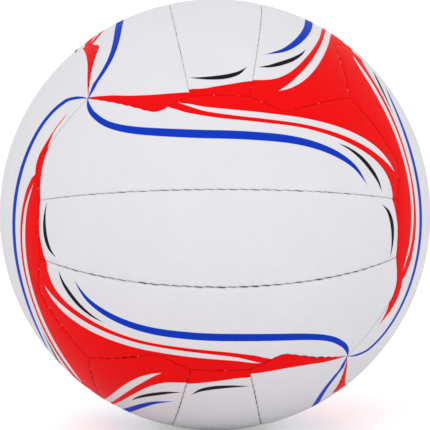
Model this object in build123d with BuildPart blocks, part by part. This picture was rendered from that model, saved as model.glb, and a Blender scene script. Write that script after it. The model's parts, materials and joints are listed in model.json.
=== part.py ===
"""Size 5 netball: eighteen stitched cover panels over cloth linings, a bladder and its valve.

The ball is laid out on the six faces of a cube blown up to a sphere. Each face carries three
parallel panels, a middle one and two side ones, and the panels of neighbouring faces run across
each other. Every panel edge is a great circle, so each seam lies in a plane through the ball's
centre. A cover panel is a shallow tray: its edges turn inwards as lips, the lips of two
neighbours stand back to back, and a thread lies in the groove between them. A cloth lining is
bonded to the floor of each tray, and the bladder bears on the tips of the lips.

Millimetres and degrees. The origin is the ball's centre, +Z is up and the front face looks
along -Y. Panels and seams are drawn on a cube face: x runs along its panels, y across them and
z outwards.
"""

import os
from math import degrees, pi, radians, tan

from build123d import *

# Ball
CIRCUMFERENCE = 700.0

# Panel layout, as angles seen from the ball's centre
MIDDLE_PANEL_BREADTH = 24.4
MIDDLE_PANEL_SPAN = 105.7
SIDE_POINT_REACH = 3.85
SIDE_POINT_RISE = 15.7

# Panel make-up
COVER_THICKNESS = 1.1
LINING_THICKNESS = 1.0
LIP_DEPTH = 4.0
SEAM_BEVEL = 1.2
SIDE_POINT_RADIUS = 8.0

# Seam thread
THREAD_WIDTH = 0.9
THREAD_SEAT_CLEARANCE = 0.05
THREAD_END_GAP = 3.0

# Bladder
BLADDER_WALL = 0.7

# Valve, in the middle panel of the back face
VALVE_STEM_RADIUS = 4.0
VALVE_STEM_LENGTH = 13.0
VALVE_RECESS = 0.4
VALVE_HOLE_CLEARANCE = 0.1
VALVE_FLANGE_RADIUS = 12.0
VALVE_FLANGE_THICKNESS = 1.5
VALVE_PATCH_RADIUS = 14.0
VALVE_PATCH_CLEARANCE = 0.1
INSERT_RADIUS = 2.4
INSERT_COLLAR_RADIUS = 3.1
INSERT_COLLAR_FOOT = 2.5
INSERT_COLLAR_HEIGHT = 2.5
INSERT_FLOOR = 2.0
NEEDLE_BORE_RADIUS = 1.1
NEEDLE_FUNNEL_RADIUS = 1.8
NEEDLE_FUNNEL_DEPTH = 1.0

# Sizes that follow from those above
BALL_RADIUS = CIRCUMFERENCE / (2 * pi)
COVER_INNER_RADIUS = BALL_RADIUS - COVER_THICKNESS
LINING_INNER_RADIUS = COVER_INNER_RADIUS - LINING_THICKNESS
BLADDER_RADIUS = BALL_RADIUS - LIP_DEPTH
BLADDER_INNER_RADIUS = BLADDER_RADIUS - BLADDER_WALL
THREAD_BED_RADIUS = BALL_RADIUS - SEAM_BEVEL + THREAD_SEAT_CLEARANCE
VALVE_HOLE_RADIUS = VALVE_STEM_RADIUS + VALVE_HOLE_CLEARANCE
VALVE_TOP = BALL_RADIUS - VALVE_RECESS
VALVE_FOOT = VALVE_TOP - VALVE_STEM_LENGTH

# Panel corners on a face plane one unit from the ball's centre
BREADTH = tan(radians(MIDDLE_PANEL_BREADTH / 2))
SPAN = tan(radians(MIDDLE_PANEL_SPAN / 2))
POINT_X = tan(radians(MIDDLE_PANEL_SPAN / 2 + SIDE_POINT_REACH))
POINT_Y = tan(radians(MIDDLE_PANEL_BREADTH / 2 + SIDE_POINT_RISE))
SIDE_END = [
    (SPAN, BREADTH),
    (POINT_X, POINT_Y),
    (1, 1),
    (POINT_Y / POINT_X, 1 / POINT_X),
    (BREADTH / SPAN, 1 / SPAN),
]
SIDE_OUTLINE = SIDE_END + [(-x, y) for x, y in reversed(SIDE_END)]
MIDDLE_OUTLINE = [(SPAN, -BREADTH), (SPAN, BREADTH), (-SPAN, BREADTH), (-SPAN, -BREADTH)]
POINTS = [(POINT_X, POINT_Y), (-POINT_X, POINT_Y)]
NOTCHES = [(POINT_Y / POINT_X, 1 / POINT_X), (-POINT_Y / POINT_X, 1 / POINT_X)]
FACE_END = [(1, 1), (POINT_X, POINT_Y), (SPAN, BREADTH), (SPAN, -BREADTH), (POINT_X, -POINT_Y), (1, -1)]

# Length of seam that the rounding takes up on each side of a point
POINT = Vector(POINT_X, POINT_Y, 1)
SIDE_POINT_TURN = Vector(SPAN, BREADTH, 1).cross(POINT).get_angle(POINT.cross(Vector(1, 1, 1)))
SIDE_POINT_TANGENT = SIDE_POINT_RADIUS * tan(radians(SIDE_POINT_TURN / 2))

# Heights of the two face planes that a panel's seam walls are lofted between
LOW_PLANE = 0.4 * BALL_RADIUS
HIGH_PLANE = 1.1 * BALL_RADIUS

# Turn that keeps a sphere's poles off the panels
POLE_TURN = (90, 0, 0)

# Each cube face: the direction along its panels, its outward direction and its panels' names
FACES = {
    "front": ((1, 0, 0), (0, -1, 0), ("upper", "middle", "lower")),
    "back": ((-1, 0, 0), (0, 1, 0), ("upper", "middle", "lower")),
    "top": ((0, 1, 0), (0, 0, 1), ("left", "middle", "right")),
    "bottom": ((0, 1, 0), (0, 0, -1), ("right", "middle", "left")),
    "right": ((0, 0, 1), (1, 0, 0), ("front", "middle", "back")),
    "left": ((0, 0, 1), (-1, 0, 0), ("back", "middle", "front")),
}
FACE_ENDS = {
    "front": ("right", "left"),
    "back": ("left", "right"),
    "top": ("back", "front"),
    "bottom": ("back", "front"),
    "right": ("top", "bottom"),
    "left": ("top", "bottom"),
}
VALVE_FACE = "back"
FROM_BASE = (Align.CENTER, Align.CENTER, Align.MIN)


def corner_direction(corner):
    """Unit vector from the ball's centre towards a panel corner."""
    return Vector(*corner, 1).normalized()


def runs(corners, closed=False):
    """Neighbouring pairs of corners, one pair for each great-circle run."""
    following = corners[1:] + corners[:1] if closed else corners[1:]
    return list(zip(corners, following))


def section(outline, inset, height):
    """Panel outline on the face plane at a height, its seam planes moved inwards by inset."""
    walls = []
    for start, end in runs(outline, closed=True):
        inward = corner_direction(start).cross(corner_direction(end)).normalized()
        walls.append((inward.X, inward.Y, inset - inward.Z * height))
    corners = []
    for (a, b, c), (d, e, f) in zip(walls[-1:] + walls[:-1], walls):
        spread = a * e - b * d
        corners.append(((c * e - b * f) / spread, (a * f - c * d) / spread))
    return corners


def round_corners(layer, corners, radius):
    """Rounds the upright edges of a lofted panel that stand nearest to the given corners."""
    walls = layer.edges().filter_by(Plane.XY, reverse=True)
    uprights = [walls.sort_by_distance(corner_direction(corner) * BALL_RADIUS)[0] for corner in corners]
    fillet(uprights, radius)


def panel_layer(outline, inset, outer_radius, inner_radius, bevel=0.0):
    """Solid between two spheres and inside the panel's seam planes, moved inwards by inset.

    A side panel's points are rounded, and so are the notches that its neighbours' points fill.
    """
    with BuildPart() as layer:
        for height in (LOW_PLANE, HIGH_PLANE):
            with BuildSketch(Plane.XY.offset(height)):
                with BuildLine():
                    Polyline(*section(outline, inset, height), close=True)
                make_face()
        loft(ruled=True)
        if outline is SIDE_OUTLINE:
            round_corners(layer, POINTS, SIDE_POINT_RADIUS - inset)
            round_corners(layer, NOTCHES, SIDE_POINT_RADIUS + inset)
        Sphere(outer_radius, rotation=POLE_TURN, mode=Mode.INTERSECT)
        Sphere(inner_radius, rotation=POLE_TURN, mode=Mode.SUBTRACT)
        if bevel > 0:
            crown = layer.faces().filter_by(GeomType.SPHERE).sort_by(SortBy.AREA)[-1]
            chamfer(crown.edges(), bevel)
    return layer.part


def panel_cover(outline, valve_hole=False):
    """Cover of one panel: a tray with bevelled edges and lips that turn inwards."""
    with BuildPart() as cover:
        add(panel_layer(outline, 0, BALL_RADIUS, BLADDER_RADIUS, SEAM_BEVEL))
        hollow = panel_layer(outline, COVER_THICKNESS, COVER_INNER_RADIUS, BLADDER_INNER_RADIUS)
        add(hollow, mode=Mode.SUBTRACT)
        if valve_hole:
            Cylinder(VALVE_HOLE_RADIUS, HIGH_PLANE, align=FROM_BASE, mode=Mode.SUBTRACT)
    return cover.part


def panel_lining(outline, valve_hole=False):
    """Cloth lining of one panel: a sheet that fills the floor of its cover tray."""
    with BuildPart() as lining:
        add(panel_layer(outline, COVER_THICKNESS, COVER_INNER_RADIUS, LINING_INNER_RADIUS))
        if valve_hole:
            Cylinder(VALVE_HOLE_RADIUS, HIGH_PLANE, align=FROM_BASE, mode=Mode.SUBTRACT)
    return lining.part


def thread_gap(corner):
    """Angle by which a thread stops short of a corner; at a side panel's point the rounding comes first."""
    length = SIDE_POINT_TANGENT if abs(corner[0]) == POINT_X else THREAD_END_GAP
    return degrees(length / THREAD_BED_RADIUS)


def seam_thread(start, end):
    """Thread that lies in the groove of one seam run, short of the run's two ends."""
    first = corner_direction(start)
    last = corner_direction(end)
    seam = Plane(origin=(0, 0, 0), x_dir=first, z_dir=first.cross(last))
    arc = first.get_angle(last) - thread_gap(start) - thread_gap(end)
    with BuildPart() as thread:
        with BuildSketch(Plane.XZ):
            with BuildLine():
                Polyline(
                    (THREAD_BED_RADIUS, 0),
                    (THREAD_BED_RADIUS + THREAD_WIDTH / 2, THREAD_WIDTH / 2),
                    (THREAD_BED_RADIUS + THREAD_WIDTH / 2, -THREAD_WIDTH / 2),
                    close=True,
                )
            make_face()
        revolve(axis=Axis.Z, revolution_arc=arc)
    return seam.location * Rot(0, 0, thread_gap(start)) * thread.part


def face_place(face):
    """Place of a cube face: x along its panels, z outwards, at the ball's centre."""
    along, outward, _ = FACES[face]
    return Plane(origin=(0, 0, 0), x_dir=along, z_dir=outward).location


def write(part, name):
    """Labels a finished piece and writes it to its own file."""
    part.label = name
    export_step(part, f"parts/{name}.step")


os.makedirs("parts", exist_ok=True)
HALF_TURN = Rot(0, 0, 180)

# Covers and linings, three to a face
side_cover = panel_cover(SIDE_OUTLINE)
side_lining = panel_lining(SIDE_OUTLINE)
for face, (_, _, (first, middle, last)) in FACES.items():
    place = face_place(face)
    has_valve = face == VALVE_FACE
    write(place * side_cover, f"{face}_{first}_cover")
    write(place * panel_cover(MIDDLE_OUTLINE, has_valve), f"{face}_{middle}_cover")
    write(place * HALF_TURN * side_cover, f"{face}_{last}_cover")
    write(place * side_lining, f"{face}_{first}_lining")
    write(place * panel_lining(MIDDLE_OUTLINE, has_valve), f"{face}_{middle}_lining")
    write(place * HALF_TURN * side_lining, f"{face}_{last}_lining")

# Threads: the two seams between a face's panels, and the seam across each end of the face
strip_thread = seam_thread((SPAN, BREADTH), (-SPAN, BREADTH))
end_threads = [seam_thread(start, end) for start, end in runs(FACE_END)]
for face, ends in FACE_ENDS.items():
    place = face_place(face)
    write(Compound([place * strip_thread, place * HALF_TURN * strip_thread]), f"{face}_panel_thread")
    for end, turn in zip(ends, (Location(), HALF_TURN)):
        write(Compound([place * turn * thread for thread in end_threads]), f"{face}_{end}_end_thread")

# Bladder, with the hole that the valve stem passes through
with BuildPart() as bladder:
    Sphere(BLADDER_RADIUS)
    Sphere(BLADDER_INNER_RADIUS, mode=Mode.SUBTRACT)
    Cylinder(VALVE_STEM_RADIUS, HIGH_PLANE, align=FROM_BASE, mode=Mode.SUBTRACT)
write(face_place(VALVE_FACE) * bladder.part, "bladder")

# Valve patch: a ring between lining and bladder that stiffens the wall round the stem
with BuildPart() as valve_patch:
    Cylinder(VALVE_PATCH_RADIUS, HIGH_PLANE, align=FROM_BASE)
    Sphere(LINING_INNER_RADIUS - VALVE_PATCH_CLEARANCE, rotation=POLE_TURN, mode=Mode.INTERSECT)
    Sphere(BLADDER_RADIUS, rotation=POLE_TURN, mode=Mode.SUBTRACT)
    Cylinder(VALVE_HOLE_RADIUS, HIGH_PLANE, align=FROM_BASE, mode=Mode.SUBTRACT)
write(face_place(VALVE_FACE) * valve_patch.part, "valve_patch")

# Valve housing: a stem through the wall, and a flange bonded to the bladder's inside
with BuildPart() as valve_housing:
    Cylinder(VALVE_FLANGE_RADIUS, HIGH_PLANE, align=FROM_BASE)
    Sphere(BLADDER_INNER_RADIUS, rotation=POLE_TURN, mode=Mode.INTERSECT)
    Sphere(BLADDER_INNER_RADIUS - VALVE_FLANGE_THICKNESS, rotation=POLE_TURN, mode=Mode.SUBTRACT)
    with Locations((0, 0, VALVE_FOOT)):
        Cylinder(VALVE_STEM_RADIUS, VALVE_STEM_LENGTH, align=FROM_BASE)
        Cylinder(INSERT_RADIUS, VALVE_STEM_LENGTH, align=FROM_BASE, mode=Mode.SUBTRACT)
    with Locations((0, 0, VALVE_FOOT + INSERT_COLLAR_FOOT)):
        Cylinder(INSERT_COLLAR_RADIUS, INSERT_COLLAR_HEIGHT, align=FROM_BASE, mode=Mode.SUBTRACT)
write(face_place(VALVE_FACE) * valve_housing.part, "valve_housing")

# Valve insert: a collared plug whose needle channel stops short of its floor
with BuildPart() as valve_insert:
    with Locations((0, 0, VALVE_FOOT)):
        Cylinder(INSERT_RADIUS, VALVE_STEM_LENGTH, align=FROM_BASE)
    with Locations((0, 0, VALVE_FOOT + INSERT_COLLAR_FOOT)):
        Cylinder(INSERT_COLLAR_RADIUS, INSERT_COLLAR_HEIGHT, align=FROM_BASE)
    with Locations((0, 0, VALVE_FOOT + INSERT_FLOOR)):
        Cylinder(NEEDLE_BORE_RADIUS, VALVE_STEM_LENGTH, align=FROM_BASE, mode=Mode.SUBTRACT)
    with Locations((0, 0, VALVE_TOP - NEEDLE_FUNNEL_DEPTH)):
        Cone(
            NEEDLE_BORE_RADIUS,
            NEEDLE_FUNNEL_RADIUS,
            NEEDLE_FUNNEL_DEPTH,
            align=FROM_BASE,
            mode=Mode.SUBTRACT,
        )
write(face_place(VALVE_FACE) * valve_insert.part, "valve_insert")
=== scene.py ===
"""Dresses the netball: printed and stitched cover panels, seam threads, valve and studio round the frame.

Metres, in the frame's own axes: the ball's centre is the origin, +Z is up and the front face looks
along -Y. A panel is shaped on its cube face, where x runs along the panels, y across them and z
outwards, and is then turned to its place. Printed shapes are drawn in panel degrees: the angle along
the panels and the angle across them, both seen from the ball's centre.
"""

from __future__ import annotations

import json
import logging
import math
from dataclasses import dataclass, field
from enum import Enum

import bpy
import numpy as np
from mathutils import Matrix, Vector

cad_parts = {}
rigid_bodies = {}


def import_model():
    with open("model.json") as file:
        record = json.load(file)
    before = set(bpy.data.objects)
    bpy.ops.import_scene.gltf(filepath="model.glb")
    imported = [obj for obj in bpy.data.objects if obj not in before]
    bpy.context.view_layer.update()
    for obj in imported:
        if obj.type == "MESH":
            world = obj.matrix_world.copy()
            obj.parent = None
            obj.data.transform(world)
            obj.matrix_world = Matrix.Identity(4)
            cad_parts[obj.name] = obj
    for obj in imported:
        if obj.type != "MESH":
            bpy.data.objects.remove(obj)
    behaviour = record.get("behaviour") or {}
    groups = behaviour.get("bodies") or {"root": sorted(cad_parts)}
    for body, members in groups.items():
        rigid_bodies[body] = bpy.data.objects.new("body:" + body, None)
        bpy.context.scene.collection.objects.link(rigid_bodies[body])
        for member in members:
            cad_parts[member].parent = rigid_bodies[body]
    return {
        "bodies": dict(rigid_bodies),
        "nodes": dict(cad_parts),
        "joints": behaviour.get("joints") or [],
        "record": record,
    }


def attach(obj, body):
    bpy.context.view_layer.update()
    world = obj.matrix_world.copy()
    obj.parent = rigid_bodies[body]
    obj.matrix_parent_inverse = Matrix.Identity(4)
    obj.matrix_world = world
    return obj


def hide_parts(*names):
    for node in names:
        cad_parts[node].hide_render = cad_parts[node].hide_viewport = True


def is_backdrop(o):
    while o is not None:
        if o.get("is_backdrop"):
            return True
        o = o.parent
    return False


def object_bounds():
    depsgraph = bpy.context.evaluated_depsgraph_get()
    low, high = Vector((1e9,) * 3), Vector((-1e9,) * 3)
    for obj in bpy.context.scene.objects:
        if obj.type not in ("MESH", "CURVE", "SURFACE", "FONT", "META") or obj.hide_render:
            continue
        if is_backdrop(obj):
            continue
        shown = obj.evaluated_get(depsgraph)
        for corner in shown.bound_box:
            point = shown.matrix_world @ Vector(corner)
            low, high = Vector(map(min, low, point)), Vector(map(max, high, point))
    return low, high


LOG = logging.getLogger("netball")
MM = 0.001
BODY = "root"
SEED = 5
PRINT_COLOURS = ("red", "white", "blue", "black")
VALUE_SOCKET = "NodeSocketFloat"
VECTOR_SOCKET = "NodeSocketVector"

Pair = tuple[float, float]
Colour = tuple[float, float, float, float]
Socket = bpy.types.NodeSocket
Inputs = dict[str | int, object]


def linear(red: float, green: float, blue: float) -> Colour:
    """Turns a display colour into scene values.

    Args:
        red: Display red, 0 to 255.
        green: Display green, 0 to 255.
        blue: Display blue, 0 to 255.

    Returns:
        Linear red, green, blue and an alpha of 1.
    """
    shares = [channel / 255 for channel in (red, green, blue)]
    values = [s / 12.92 if s <= 0.04045 else ((s + 0.055) / 1.055) ** 2.4 for s in shares]
    return (*values, 1.0)


def unit(vectors: np.ndarray) -> np.ndarray:
    """Scales one vector, or each row of vectors, to length 1."""
    return vectors / np.linalg.norm(vectors, axis=-1, keepdims=True)


class CornerKind(Enum):
    """How a panel's outline turns at a corner.

    The value is the side of the outline that the centre of the rounding is on, 0 where there is none.
    """

    SHARP = 0
    POINT = 1
    NOTCH = -1


@dataclass(frozen=True)
class Corner:
    """One corner of a panel's outline.

    Attributes:
        x: Place along the face plane one unit from the ball's centre.
        y: Place across that plane.
        kind: Whether the corner is sharp, a rounded point or a rounded notch.
        steps: Mesh steps on the seam run that starts here.
    """

    x: float
    y: float
    kind: CornerKind
    steps: int

    def direction(self) -> np.ndarray:
        """Unit vector from the ball's centre to the corner."""
        return unit(np.array([self.x, self.y, 1.0]))


@dataclass(frozen=True)
class PanelLayout:
    """Angles of the seams, seen from the ball's centre, in degrees, and the mesh steps along them.

    Attributes:
        middle_breadth: Angle across the middle panel.
        middle_span: Angle along the middle panel.
        point_reach: How far a side panel's point reaches past the middle panel's end.
        point_rise: How far that point is from the seam beside the middle panel.
        strip_steps: Steps on the seam along a middle panel.
        middle_end_steps: Steps on the seam across its end.
        side_end_steps: Steps before and after a side panel's point.
        notch_steps: Steps from a corner to the notch, from there to the crest, and along the crest.
        round_steps: Steps on a rounded point or notch.
    """

    middle_breadth: float = 24.4
    middle_span: float = 105.7
    point_reach: float = 3.85
    point_rise: float = 15.7
    strip_steps: int = 148
    middle_end_steps: int = 20
    side_end_steps: tuple[int, int] = (12, 32)
    notch_steps: tuple[int, int, int] = (40, 16, 28)
    round_steps: int = 4

    @property
    def breadth(self) -> float:
        """Half breadth of the middle panel on the unit face plane."""
        return math.tan(math.radians(self.middle_breadth / 2))

    @property
    def span(self) -> float:
        """Half span of the middle panel on the unit face plane."""
        return math.tan(math.radians(self.middle_span / 2))

    @property
    def point(self) -> Pair:
        """Point of a side panel on the unit face plane.

        Returns:
            Its places along and across.
        """
        along = math.tan(math.radians(self.middle_span / 2 + self.point_reach))
        across = math.tan(math.radians(self.middle_breadth / 2 + self.point_rise))
        return along, across

    def middle_corners(self) -> list[Corner]:
        """Corners of a middle panel.

        Returns:
            Four corners, anticlockwise from outside.
        """
        sharp = CornerKind.SHARP
        return [
            Corner(-self.span, -self.breadth, sharp, self.strip_steps),
            Corner(self.span, -self.breadth, sharp, self.middle_end_steps),
            Corner(self.span, self.breadth, sharp, self.strip_steps),
            Corner(-self.span, self.breadth, sharp, self.middle_end_steps),
        ]

    def side_corners(self) -> list[Corner]:
        """Corners of a side panel.

        Returns:
            Ten corners, anticlockwise from outside.
        """
        sharp, point, notch = CornerKind.SHARP, CornerKind.POINT, CornerKind.NOTCH
        along, across = self.point
        short, long = self.side_end_steps
        outer, inner, crest = self.notch_steps
        notch_x, notch_y = across / along, 1 / along
        crest_x, crest_y = self.breadth / self.span, 1 / self.span
        return [
            Corner(-self.span, self.breadth, sharp, self.strip_steps),
            Corner(self.span, self.breadth, sharp, short),
            Corner(along, across, point, long),
            Corner(1.0, 1.0, sharp, outer),
            Corner(notch_x, notch_y, notch, inner),
            Corner(crest_x, crest_y, sharp, crest),
            Corner(-crest_x, crest_y, sharp, inner),
            Corner(-notch_x, notch_y, notch, outer),
            Corner(-1.0, 1.0, sharp, long),
            Corner(-along, across, point, short),
        ]

    def face_end(self) -> list[Corner]:
        """Corners of the seam across one end of a face.

        Returns:
            Six corners, from one cube corner to the next.
        """
        sharp = CornerKind.SHARP
        along, across = self.point
        places = [(1.0, 1.0), (along, across), (self.span, self.breadth)]
        places += [(x, -y) for x, y in reversed(places)]
        return [Corner(x, y, sharp, 0) for x, y in places]


@dataclass(frozen=True)
class Stitching:
    """Spacing of the stitches along a seam."""

    pitch: float = 5.5 * MM

    def count(self, start: np.ndarray, end: np.ndarray, radius: float) -> int:
        """Number of stitches on a seam run.

        Args:
            start: Unit vector to the run's first corner.
            end: Unit vector to its last corner.
            radius: Ball radius.

        Returns:
            Whole number of stitches, at least one.
        """
        length = math.acos(float(start @ end)) * radius
        return max(1, round(length / self.pitch))


def sweep(axis: np.ndarray, start: np.ndarray, end: np.ndarray, steps: int) -> np.ndarray:
    """Points of a circle on the unit sphere.

    Args:
        axis: Unit vector through the circle's centre.
        start: First point.
        end: Point that the sweep stops short of by one step.
        steps: Number of steps between them.

    Returns:
        One point for each step, the first being start.
    """
    height = float(start @ axis)
    first = unit(start - height * axis)
    second = np.cross(axis, first)
    turn = math.atan2(float(end @ second), float(end @ first))
    angles = turn * np.arange(steps)[:, None] / steps
    circle = np.cos(angles) * first + np.sin(angles) * second
    return height * axis + math.sqrt(1 - height * height) * circle


class PanelOutline:
    """Rings of points round a panel, at any distance in from its seams."""

    def __init__(
        self,
        corners: list[Corner],
        layout: PanelLayout,
        radius: float,
        point_radius: float,
    ) -> None:
        """Works out the seam planes.

        Args:
            corners: The outline's corners, anticlockwise from outside.
            layout: Mesh steps of the rounded corners.
            radius: Ball radius.
            point_radius: Radius of the rounded points and notches.
        """
        self.corners = corners
        self.round_steps = layout.round_steps
        self.radius = radius
        self.point_level = math.sin(point_radius / radius)
        self.places = [corner.direction() for corner in corners]
        following = self.places[1:] + self.places[:1]
        self.inward = [unit(np.cross(a, b)) for a, b in zip(self.places, following)]

    def meeting(self, index: int, level: float) -> np.ndarray:
        """Point near a corner at the same height above the seam planes on its two sides.

        Args:
            index: Which corner.
            level: Height above both planes on the unit sphere.

        Returns:
            Unit vector to the point.
        """
        before, after = self.inward[index - 1], self.inward[index]
        base = level / (1 + float(before @ after)) * (before + after)
        axis = unit(np.cross(before, after))
        side = 1.0 if float(axis @ self.places[index]) > 0 else -1.0
        return base + side * math.sqrt(1 - float(base @ base)) * axis

    def touch(self, index: int, seam: int, level: float) -> np.ndarray:
        """Point where an inset seam run meets a corner, or the corner's rounding.

        Args:
            index: Which corner.
            seam: Which seam run, the one before or after that corner.
            level: Height of the inset run above its seam plane.

        Returns:
            Unit vector to the point.
        """
        kind = self.corners[index].kind
        if kind is CornerKind.SHARP:
            return self.meeting(index, level)
        centre = self.meeting(index, kind.value * self.point_level)
        inward = self.inward[seam]
        foot = unit(centre - float(inward @ centre) * inward)
        return math.sqrt(1 - level * level) * foot + level * inward

    def ring(self, inset: float) -> np.ndarray:
        """Closed ring of points at a distance in from the seams.

        Args:
            inset: Distance along the ball's surface.

        Returns:
            Unit vectors, anticlockwise from outside, starting at the first corner.
        """
        level = math.sin(inset / self.radius)
        stretches = []
        for index, corner in enumerate(self.corners):
            leave = self.touch(index, index, level)
            if corner.kind is not CornerKind.SHARP:
                centre = self.meeting(index, corner.kind.value * self.point_level)
                arrive = self.touch(index, index - 1, level)
                stretches.append(sweep(centre, arrive, leave, self.round_steps))
            end = self.touch((index + 1) % len(self.corners), index, level)
            stretches.append(sweep(self.inward[index], leave, end, corner.steps))
        return np.concatenate(stretches)

    def stitch_phase(self, stitching: Stitching) -> tuple[np.ndarray, np.ndarray]:
        """How far each ring point is along its seam, in stitches.

        Args:
            stitching: Spacing of the stitches.

        Returns:
            Stitches behind each point, whole numbers where a thread crosses, and stitches still to go; both
            are zero on rounded corners.
        """
        phases, rests = [], []
        for index, corner in enumerate(self.corners):
            if corner.kind is not CornerKind.SHARP:
                phases.append(np.zeros(self.round_steps))
                rests.append(np.zeros(self.round_steps))
            following = (index + 1) % len(self.corners)
            first, last = self.places[index], self.places[following]
            second = np.cross(self.inward[index], first)
            run = sweep(
                self.inward[index],
                self.touch(index, index, 0.0),
                self.touch(following, index, 0.0),
                corner.steps,
            )
            share = np.arctan2(run @ second, run @ first) / math.acos(float(first @ last))
            count = stitching.count(first, last, self.radius)
            phases.append(share * count)
            rests.append((1 - share) * count)
        return np.concatenate(phases), np.concatenate(rests)

    def side_steps(self) -> tuple[int, int]:
        """Mesh steps on the sides of the outline.

        Returns:
            Steps along the panel and across it.
        """
        along = self.corners[0].steps
        rounded = [corner for corner in self.corners if corner.kind is not CornerKind.SHARP]
        total = sum(corner.steps for corner in self.corners) + self.round_steps * len(rounded)
        return along, total // 2 - along


def travelled(points: np.ndarray) -> np.ndarray:
    """Share of a path's length travelled at each of its points."""
    steps = np.linalg.norm(np.diff(points, axis=0), axis=1)
    return np.concatenate([[0.0], np.cumsum(steps)]) / steps.sum()


class Patch:
    """Grid that fills a closed ring of points, its sides taken from the ring."""

    def __init__(self, ring: np.ndarray, first: int, along: int, across: int, stride: int) -> None:
        """Lays the grid out.

        Args:
            ring: Unit vectors of the closed ring.
            first: Index of the ring's first vertex in the mesh.
            along: Ring steps on the sides along the panel.
            across: Ring steps on the other two sides.
            stride: Ring steps to one grid step.
        """
        self.ring = ring
        self.first = first
        self.along = along
        self.across = across
        self.stride = stride
        self.columns = along // stride
        self.rows = across // stride

    def ring_index(self, column: int, row: int) -> int | None:
        """Place in the ring of a grid point.

        Args:
            column: Grid steps along the panel.
            row: Grid steps across it.

        Returns:
            Its place, or None for a point inside the grid.
        """
        if row == 0:
            return column * self.stride
        if column == self.columns:
            return self.along + row * self.stride
        if row == self.rows:
            return self.along + self.across + (self.columns - column) * self.stride
        if column == 0:
            return (2 * self.along + self.across + (self.rows - row) * self.stride) % len(self.ring)
        return None

    def side(self, start: tuple[int, int], end: tuple[int, int]) -> np.ndarray:
        """Ring points at the grid points of one side.

        Args:
            start: Column and row of the side's first grid point.
            end: Column and row of its last.

        Returns:
            A unit vector for each grid point, in that order.
        """
        steps = max(abs(end[0] - start[0]), abs(end[1] - start[1]))
        places = np.linspace(start, end, steps + 1).round().astype(int)
        return self.ring[[self.ring_index(column, row) for column, row in places]]

    def inner_points(self) -> np.ndarray:
        """Points inside the grid, blended from its four sides.

        Returns:
            Unit vectors, row by row.
        """
        low = self.side((0, 0), (self.columns, 0))[None, :, :]
        high = self.side((0, self.rows), (self.columns, self.rows))[None, :, :]
        left = self.side((0, 0), (0, self.rows))[:, None, :]
        right = self.side((self.columns, 0), (self.columns, self.rows))[:, None, :]
        s = (travelled(low[0]) + travelled(high[0]))[None, :, None] / 2
        t = (travelled(left[:, 0]) + travelled(right[:, 0]))[:, None, None] / 2
        edges = (1 - t) * low + t * high + (1 - s) * left + s * right
        low_corners = (1 - s) * low[:, :1] + s * low[:, -1:]
        high_corners = (1 - s) * high[:, :1] + s * high[:, -1:]
        corners = (1 - t) * low_corners + t * high_corners
        return unit((edges - corners)[1:-1, 1:-1].reshape(-1, 3))

    def stretch(self, start: tuple[int, int], end: tuple[int, int], first_inner: int) -> list[int]:
        """Vertices from one grid point up to the next, leaving out the last.

        Args:
            start: Column and row of the first grid point.
            end: Column and row of the next.
            first_inner: Index of the grid's first inner vertex in the mesh.

        Returns:
            Their indices in the mesh.
        """
        here, there = self.ring_index(*start), self.ring_index(*end)
        if here is None:
            return [first_inner + (start[1] - 1) * (self.columns - 1) + start[0] - 1]
        on_rim = there is not None and (there - here) % len(self.ring) == self.stride
        return [self.first + (here + k) % len(self.ring) for k in range(self.stride if on_rim else 1)]

    def faces(self, first_inner: int) -> list[list[int]]:
        """Faces of the grid, anticlockwise from outside; a face on the rim takes in every ring point there.

        Args:
            first_inner: Index of the grid's first inner vertex in the mesh.

        Returns:
            Vertex indices of each face.
        """
        found = []
        for row in range(self.rows):
            for column in range(self.columns):
                cell = [(column, row), (column + 1, row), (column + 1, row + 1), (column, row + 1)]
                sides = zip(cell, cell[1:] + cell[:1])
                found.append([vertex for a, b in sides for vertex in self.stretch(a, b, first_inner)])
        return found


def smooth_curve(points: tuple[tuple[float, ...], ...], steps: int = 12) -> np.ndarray:
    """Smooth curve through points.

    Args:
        points: Two or more points of any dimension.
        steps: Curve steps between two points.

    Returns:
        Points of the curve, both ends among them.
    """
    knots = np.array(points, dtype=float)
    padded = np.concatenate([2 * knots[:1] - knots[1:2], knots, 2 * knots[-1:] - knots[-2:-1]])
    t = np.linspace(0, 1, steps, endpoint=False)[:, None]
    spans = []
    for a, b, c, d in zip(padded, padded[1:], padded[2:], padded[3:]):
        spans.append(b + 0.5 * t * (c - a + t * (2 * a - 5 * b + 4 * c - d + t * (3 * (b - c) + d - a))))
    return np.concatenate([*spans, knots[-1:]])


@dataclass(frozen=True)
class Stripe:
    """Printed line along a smooth curve; with no width given it is the edge of a field on the curve's left.

    Attributes:
        points: Degrees along and across, and for a stripe its half width in degrees.
    """

    points: tuple[tuple[float, ...], ...]

    def fields(self, places: np.ndarray) -> np.ndarray:
        """How places lie to the curve.

        Args:
            places: Degrees along and across, one row for each place.

        Returns:
            For each place its distance to the left of the curve, and the half width there.
        """
        curve = smooth_curve(self.points)
        start, span = curve[:-1], np.diff(curve, axis=0)
        length = np.linalg.norm(span[:, :2], axis=1)
        away = places[:, None, :] - start[None, :, :2]
        share = (away * span[:, :2]).sum(axis=2) / length**2
        gap = np.linalg.norm(away - np.clip(share, 0, 1)[..., None] * span[:, :2], axis=2)
        near = gap.argmin(axis=1)
        rows = np.arange(len(places))
        share, away = share[rows, near], away[rows, near]
        share = np.where(near > 0, np.maximum(share, 0), share)
        share = np.where(near < len(span) - 1, np.minimum(share, 1), share)
        left = (span[near, 0] * away[:, 1] - span[near, 1] * away[:, 0]) / length[near]
        half = start[near, 2] + share * span[near, 2] if curve.shape[1] > 2 else np.zeros(len(places))
        return np.stack([left, half], axis=1)


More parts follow.
